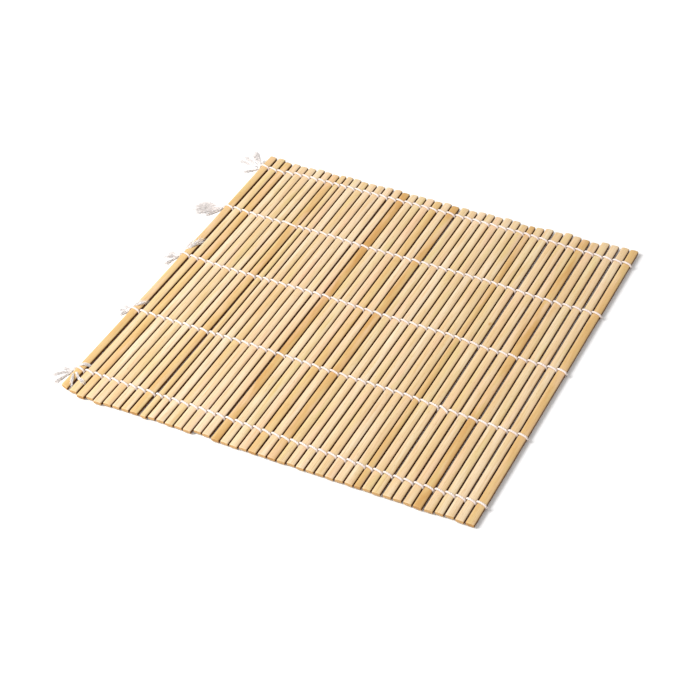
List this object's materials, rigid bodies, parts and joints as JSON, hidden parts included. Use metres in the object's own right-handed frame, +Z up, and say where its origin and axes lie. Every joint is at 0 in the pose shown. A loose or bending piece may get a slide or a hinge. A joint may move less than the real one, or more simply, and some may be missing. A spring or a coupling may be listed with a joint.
{
  "type": "sushi rolling mat",
  "caption": "Flat rolling mat of parallel half-round bamboo sticks, twined together by cotton strings that end in knots and frayed tufts along one side.",
  "frame": {"origin": "middle of the bounding box at the underside, on the surface that the mat lies on", "axes": "+X along the strings, from the tufts' side to the plain side; +Y along the sticks, to the picture's far side; +Z up, out of the sticks' rounded side"},
  "size_m": [0.2612, 0.2432, 0.0037],
  "materials": {
    "bamboo": "planed, matt, pale straw",
    "golden_bamboo": "planed, matt, golden",
    "cotton": "soft undyed string"
  },
  "bodies": {
    "root": {"stick_01": "golden_bamboo", "stick_02": "bamboo", "stick_03": "golden_bamboo", "stick_04": "bamboo", "stick_05": "bamboo", "stick_06": "bamboo", "stick_07": "bamboo", "stick_08": "bamboo", "stick_09": "golden_bamboo", "stick_10": "bamboo", "stick_11": "bamboo", "stick_12": "bamboo", "stick_13": "bamboo", "stick_14": "bamboo", "stick_15": "bamboo", "stick_16": "bamboo", "stick_17": "bamboo", "stick_18": "golden_bamboo", "stick_19": "bamboo", "stick_20": "bamboo", "stick_21": "bamboo", "stick_22": "golden_bamboo", "stick_23": "bamboo", "stick_24": "golden_bamboo", "stick_25": "bamboo", "stick_26": "bamboo", "stick_27": "bamboo", "stick_28": "bamboo", "stick_29": "bamboo", "stick_30": "bamboo", "stick_31": "bamboo", "stick_32": "bamboo", "stick_33": "golden_bamboo", "stick_34": "bamboo", "stick_35": "bamboo", "stick_36": "bamboo", "stick_37": "bamboo", "stick_38": "bamboo", "stick_39": "golden_bamboo", "stick_40": "bamboo", "stick_41": "bamboo", "stick_42": "bamboo", "stick_43": "bamboo", "stick_44": "golden_bamboo", "string_1": "cotton", "string_2": "cotton", "string_3": "cotton", "string_4": "cotton", "string_5": "cotton", "tuft_1": "cotton", "tuft_2": "cotton", "tuft_3": "cotton", "tuft_4": "cotton", "tuft_5": "cotton"}
  },
  "joints": []
}
